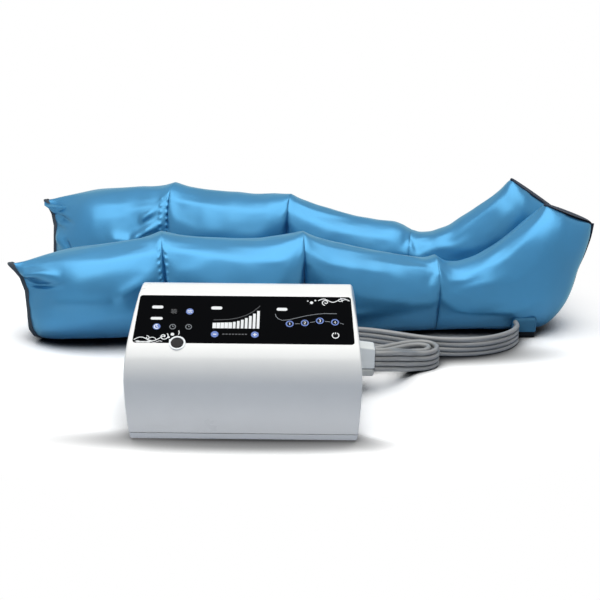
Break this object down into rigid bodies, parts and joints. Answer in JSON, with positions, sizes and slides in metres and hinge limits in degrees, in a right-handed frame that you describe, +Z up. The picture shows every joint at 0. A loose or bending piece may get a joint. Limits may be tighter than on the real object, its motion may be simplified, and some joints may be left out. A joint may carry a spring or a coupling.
{
  "type": "compression therapy pump",
  "caption": "Air pump console with a sloped key panel and a hose plug, joined by flat tube ribbons to two inflated leg sleeves that lie on the floor.",
  "frame": {"origin": "on the floor, under the middle of the console and the two sleeves", "axes": "+X from the sleeves' cuffs to their feet, along the console's width towards its hose plug; +Y from the console's key panel back to the sleeves; +Z up"},
  "size_m": [0.8661, 0.7053, 0.188],
  "materials": {
    "shell_white": "moulded, satin gloss white",
    "tray_white": "moulded, matte off-white",
    "black_rubber": "moulded black rubber",
    "steel": "plain steel",
    "panel_black": "polished black",
    "inlay_silver": "plain silver grey",
    "key_black": "polished black",
    "board_green": "solder mask green",
    "works_plastic": "glass-filled dark grey",
    "coil_copper": "enamelled copper wire",
    "valve_steel": "bright zinc",
    "hose_grey": "soft grey vinyl",
    "inlet_black": "matte black",
    "plug_grey": "moulded mid grey",
    "sleeve_blue": "coated nylon, soft sheen",
    "binding_grey": "woven tape, dark grey",
    "port_grey": "moulded soft grey"
  },
  "bodies": {
    "console": {"housing": "shell_white", "base_tray": "tray_white", "rubber_feet": "black_rubber", "tray_screws": "steel", "control_panel": "panel_black", "badge_inlay": "inlay_silver", "key_board": "board_green", "main_board": "board_green", "transformer": "steel", "pump_mounts": "black_rubber", "pump_bed": "works_plastic", "pump_heads": "works_plastic", "pump_diaphragms": "black_rubber", "pump_coils": "coil_copper", "valve_manifold": "works_plastic", "solenoid_valves": "valve_steel", "outlet_tubes": "hose_grey", "air_rail": "hose_grey", "supply_tube": "hose_grey", "power_inlet": "inlet_black", "switch_frame": "inlet_black", "hose_socket": "plug_grey"},
    "hose_set": {"plug_upper_shell": "shell_white", "plug_lower_shell": "plug_grey", "plug_nose": "plug_grey", "hose_ribbon_front": "hose_grey", "hose_ribbon_rear": "hose_grey", "thigh_chamber_front": "sleeve_blue", "knee_chamber_front": "sleeve_blue", "calf_chamber_front": "sleeve_blue", "foot_chamber_front": "sleeve_blue", "upper_band_front": "sleeve_blue", "lower_band_front": "sleeve_blue", "cuff_binding_front": "binding_grey", "hose_port_front": "port_grey", "thigh_chamber_rear": "sleeve_blue", "knee_chamber_rear": "sleeve_blue", "calf_chamber_rear": "sleeve_blue", "foot_chamber_rear": "sleeve_blue", "upper_band_rear": "sleeve_blue", "lower_band_rear": "sleeve_blue", "cuff_binding_rear": "binding_grey", "hose_port_rear": "port_grey"},
    "pump_armature": {"pump_armature": "steel"},
    "switch_rocker": {"switch_rocker": "inlet_black"},
    "key_mode_1": {"key_mode_1": "key_black"},
    "key_mode_2": {"key_mode_2": "key_black"},
    "key_time_1": {"key_time_1": "key_black"},
    "key_time_2": {"key_time_2": "key_black"},
    "key_time_3": {"key_time_3": "key_black"},
    "key_pressure_down": {"key_pressure_down": "key_black"},
    "key_pressure_up": {"key_pressure_up": "key_black"},
    "key_chamber_1": {"key_chamber_1": "key_black"},
    "key_chamber_2": {"key_chamber_2": "key_black"},
    "key_chamber_3": {"key_chamber_3": "key_black"},
    "key_chamber_4": {"key_chamber_4": "key_black"},
    "key_start": {"key_start": "key_black"}
  },
  "joints": [
    {"name": "key_mode_1_press", "type": "slide", "parent": "console", "child": "key_mode_1", "axis": [0, 0.5299, -0.848], "range_m": [0, 0.0005], "stiffness_N_per_m": 2000, "springref_m": -0.00005},
    {"name": "key_mode_2_press", "type": "slide", "parent": "console", "child": "key_mode_2", "axis": [0, 0.5299, -0.848], "range_m": [0, 0.0005], "stiffness_N_per_m": 2000, "springref_m": -0.00005},
    {"name": "key_time_1_press", "type": "slide", "parent": "console", "child": "key_time_1", "axis": [0, 0.5299, -0.848], "range_m": [0, 0.0005], "stiffness_N_per_m": 2000, "springref_m": -0.00005},
    {"name": "key_time_2_press", "type": "slide", "parent": "console", "child": "key_time_2", "axis": [0, 0.5299, -0.848], "range_m": [0, 0.0005], "stiffness_N_per_m": 2000, "springref_m": -0.00005},
    {"name": "key_time_3_press", "type": "slide", "parent": "console", "child": "key_time_3", "axis": [0, 0.5299, -0.848], "range_m": [0, 0.0005], "stiffness_N_per_m": 2000, "springref_m": -0.00005},
    {"name": "key_pressure_down_press", "type": "slide", "parent": "console", "child": "key_pressure_down", "axis": [0, 0.5299, -0.848], "range_m": [0, 0.0005], "stiffness_N_per_m": 2000, "springref_m": -0.00005},
    {"name": "key_pressure_up_press", "type": "slide", "parent": "console", "child": "key_pressure_up", "axis": [0, 0.5299, -0.848], "range_m": [0, 0.0005], "stiffness_N_per_m": 2000, "springref_m": -0.00005},
    {"name": "key_chamber_1_press", "type": "slide", "parent": "console", "child": "key_chamber_1", "axis": [0, 0.5299, -0.848], "range_m": [0, 0.0005], "stiffness_N_per_m": 2000, "springref_m": -0.00005},
    {"name": "key_chamber_2_press", "type": "slide", "parent": "console", "child": "key_chamber_2", "axis": [0, 0.5299, -0.848], "range_m": [0, 0.0005], "stiffness_N_per_m": 2000, "springref_m": -0.00005},
    {"name": "key_chamber_3_press", "type": "slide", "parent": "console", "child": "key_chamber_3", "axis": [0, 0.5299, -0.848], "range_m": [0, 0.0005], "stiffness_N_per_m": 2000, "springref_m": -0.00005},
    {"name": "key_chamber_4_press", "type": "slide", "parent": "console", "child": "key_chamber_4", "axis": [0, 0.5299, -0.848], "range_m": [0, 0.0005], "stiffness_N_per_m": 2000, "springref_m": -0.00005},
    {"name": "key_start_press", "type": "slide", "parent": "console", "child": "key_start", "axis": [0, 0.5299, -0.848], "range_m": [0, 0.0005], "stiffness_N_per_m": 2000, "springref_m": -0.00005},
    {"name": "switch_turn", "type": "hinge", "parent": "console", "child": "switch_rocker", "pos_m": [-0.104, -0.15587, 0.04], "axis": [0, 0, 1], "range_deg": [-18, 0]},
    {"name": "armature_shake", "type": "slide", "parent": "console", "child": "pump_armature", "axis": [1, 0, 0], "range_m": [-0.0015, 0.0015], "stiffness_N_per_m": 6000},
    {"name": "plug_pull", "type": "slide", "parent": "console", "child": "hose_set", "axis": [1, 0, 0], "range_m": [0, 0.02]}
  ]
}
